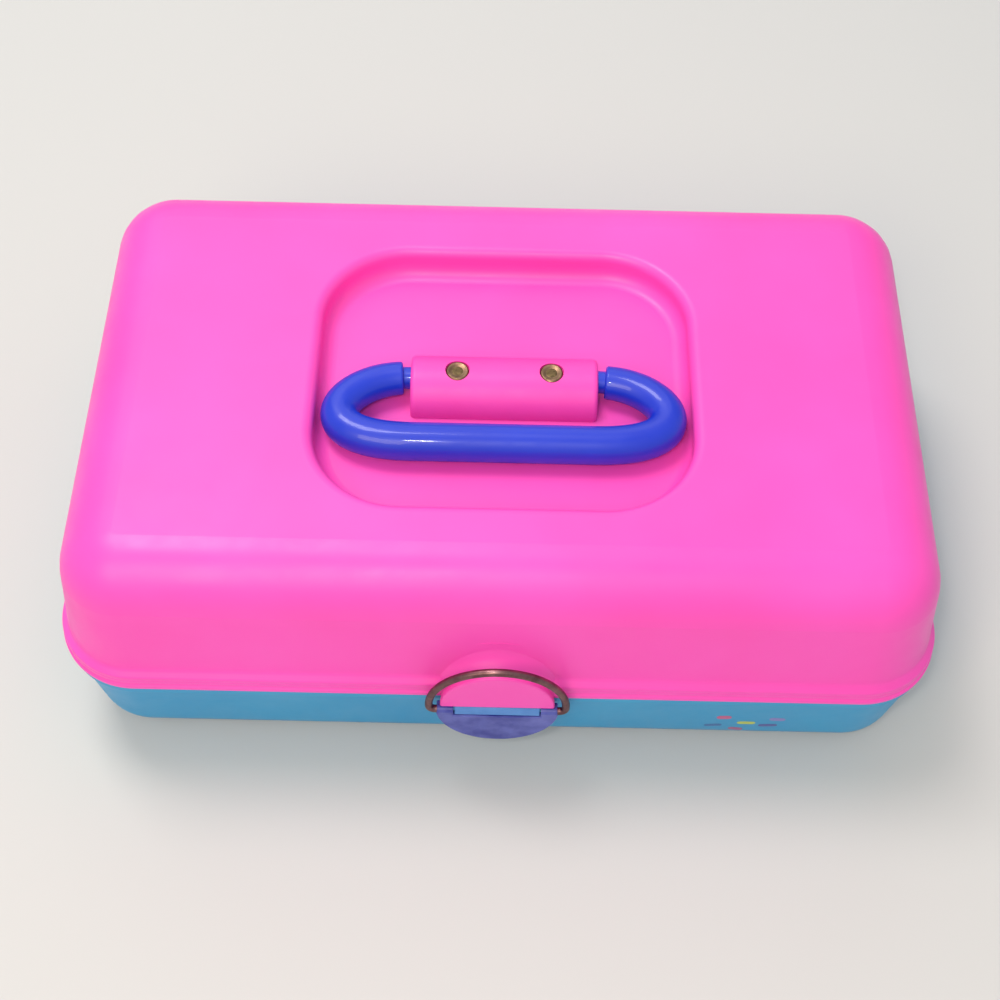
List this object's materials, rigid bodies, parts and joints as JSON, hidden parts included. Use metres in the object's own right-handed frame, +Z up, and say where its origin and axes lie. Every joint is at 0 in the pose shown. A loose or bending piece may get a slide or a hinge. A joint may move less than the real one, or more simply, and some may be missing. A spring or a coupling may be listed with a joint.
{
  "type": "makeup storage case",
  "caption": "Moulded make-up case with a hinged deep lid, folding loop handle, wire bail latch, lid-lifted tray and a mirror in the lid.",
  "frame": {"origin": "middle of the footprint, on the surface that the case stands on", "axes": "+X along the hinge line to the right, +Y to the hinged back, +Z up"},
  "size_m": [0.305, 0.2052, 0.1029],
  "materials": {
    "lid_pink": "satin injection-moulded plastic",
    "base_blue": "satin injection-moulded plastic",
    "handle_blue": "glossy injection-moulded plastic",
    "tab_violet": "semi-gloss moulded plastic",
    "bail_bronze": "browned spring wire",
    "rivet_brass": "antiqued brass",
    "pin_steel": "bright drawn steel",
    "mirror_silver": "silvered glass"
  },
  "bodies": {
    "base": {"base_shell": "base_blue", "hinge_pin_left": "pin_steel", "hinge_pin_right": "pin_steel", "arm_base_pin_left": "pin_steel", "arm_base_pin_right": "pin_steel"},
    "lid": {"lid_shell": "lid_pink", "handle_saddle": "lid_pink", "handle_rivets": "rivet_brass", "rivet_washers": "pin_steel", "lid_tray_pin_left": "pin_steel", "lid_tray_pin_right": "pin_steel", "mirror_frame": "lid_pink", "mirror_glass": "mirror_silver", "mirror_screws": "pin_steel"},
    "handle": {"handle": "handle_blue"},
    "tab": {"latch_tab": "tab_violet"},
    "bail": {"latch_bail": "bail_bronze"},
    "tray": {"tray": "base_blue"},
    "arm_left": {"link_arm_left": "pin_steel", "arm_tray_pin_left": "pin_steel"},
    "arm_right": {"link_arm_right": "pin_steel", "arm_tray_pin_right": "pin_steel"}
  },
  "joints": [
    {"name": "lid_hinge", "type": "hinge", "parent": "base", "child": "lid", "pos_m": [0, 0.0992, 0.044], "axis": [-1, 0, 0], "range_deg": [0, 100]},
    {"name": "handle_fold", "type": "hinge", "parent": "lid", "child": "handle", "pos_m": [0, 0, 0.09625], "axis": [-1, 0, 0], "range_deg": [0, 180]},
    {"name": "tab_pull", "type": "hinge", "parent": "base", "child": "tab", "pos_m": [0, -0.10035, 0.0414], "axis": [-1, 0, 0], "range_deg": [0, 105]},
    {"name": "bail_swing", "type": "hinge", "parent": "base", "child": "bail", "pos_m": [0, -0.10035, 0.0414], "axis": [1, 0, 0], "range_deg": [-8, 150]},
    {"name": "tray_hang", "type": "hinge", "parent": "lid", "child": "tray", "pos_m": [0, 0.0549, 0.054], "axis": [-1, 0, 0], "range_deg": [-100, 0]},
    {"name": "arm_left_swing", "type": "hinge", "parent": "base", "child": "arm_left", "pos_m": [0, 0.0243, 0.032], "axis": [-1, 0, 0], "range_deg": [0, 100]},
    {"name": "arm_right_swing", "type": "hinge", "parent": "base", "child": "arm_right", "pos_m": [0, 0.0243, 0.032], "axis": [-1, 0, 0], "range_deg": [0, 100]}
  ],
  "couplings": [
    {"joint": "tray_hang", "follows": "lid_hinge", "ratio": -1},
    {"joint": "arm_left_swing", "follows": "lid_hinge", "ratio": 1},
    {"joint": "arm_right_swing", "follows": "lid_hinge", "ratio": 1}
  ]
}
